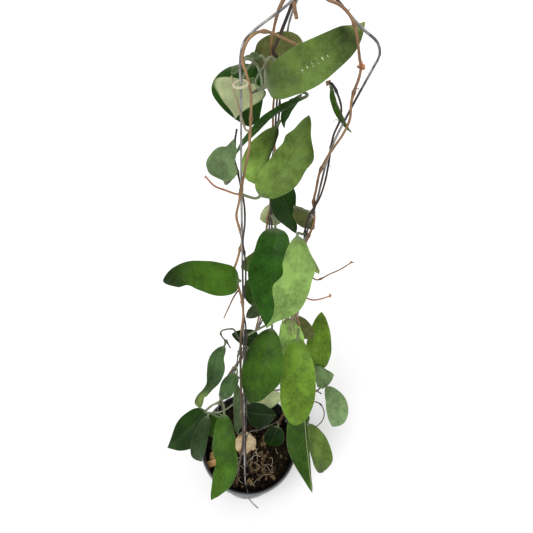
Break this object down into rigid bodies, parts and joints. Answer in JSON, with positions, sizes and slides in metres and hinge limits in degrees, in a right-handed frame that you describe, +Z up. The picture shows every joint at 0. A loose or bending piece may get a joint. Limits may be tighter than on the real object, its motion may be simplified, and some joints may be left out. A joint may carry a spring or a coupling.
{
  "type": "potted hoya plant",
  "caption": "Potted hoya trained up the wire hanger of a black nursery pot: waxy leaves on twining woody vines over a coarse bark mix, with a plain hook at the top.",
  "frame": {"origin": "centre of the pot's flat base, on the surface that it stands on", "axes": "+Z up; +X to the right and -Y towards someone who faces the plant's front; the hanger leans back towards +Y and a little towards +X"},
  "size_m": [0.2517, 0.2508, 0.7224],
  "materials": {
    "pot_plastic": "satin",
    "bark_mix": "matte",
    "wire_steel": "satin",
    "woody_vine": "matte",
    "young_stem": "satin",
    "dry_stalk": "matte",
    "leaf_green": "satin",
    "dry_leaf": "matte"
  },
  "bodies": {
    "root": {"dead_leaf": "dry_leaf", "hanger_hook": "wire_steel", "hanger_sleeve": "wire_steel", "hanger_wire_back": "wire_steel", "hanger_wire_front": "wire_steel", "hanger_wire_right": "wire_steel", "leaf_behind_wavy": "leaf_green", "leaf_behind_wire": "leaf_green", "leaf_bright_wavy": "leaf_green", "leaf_broad_middle": "leaf_green", "leaf_dark_large": "leaf_green", "leaf_dark_middle": "leaf_green", "leaf_dark_pot": "leaf_green", "leaf_edge_short": "leaf_green", "leaf_front_wavy": "leaf_green", "leaf_grey_left": "leaf_green", "leaf_grey_pot": "leaf_green", "leaf_grey_right": "leaf_green", "leaf_left_far": "leaf_green", "leaf_left_grey": "leaf_green", "leaf_left_level": "leaf_green", "leaf_left_small": "leaf_green", "leaf_light_back": "leaf_green", "leaf_long_edge": "leaf_green", "leaf_olive_left": "leaf_green", "leaf_olive_middle": "leaf_green", "leaf_pale_middle": "leaf_green", "leaf_pale_pot": "leaf_green", "leaf_pale_right": "leaf_green", "leaf_right_bright": "leaf_green", "leaf_right_long": "leaf_green", "leaf_right_low": "leaf_green", "leaf_right_olive": "leaf_green", "leaf_right_upright": "leaf_green", "leaf_top_behind": "leaf_green", "leaf_top_big": "leaf_green", "leaf_top_curled": "leaf_green", "leaf_under_broad": "leaf_green", "leaf_upper_left": "leaf_green", "leaf_upright_narrow": "leaf_green", "leaf_yellow_green": "leaf_green", "peduncle_left": "dry_stalk", "peduncle_low": "dry_stalk", "peduncle_orange": "dry_stalk", "peduncle_right": "dry_stalk", "pot": "pot_plastic", "potting_mix": "bark_mix", "runner_pot": "young_stem", "runner_top": "young_stem", "side_shoot_pale": "young_stem", "stem_left": "young_stem", "stem_left_loop": "young_stem", "stem_right_loop": "young_stem", "stem_side_right": "young_stem", "vine_back_brown": "woody_vine", "vine_back_dark": "woody_vine", "vine_front_dark": "woody_vine", "vine_front_tan": "woody_vine", "vine_right_brown": "woody_vine", "vine_right_dark": "woody_vine"}
  },
  "joints": []
}
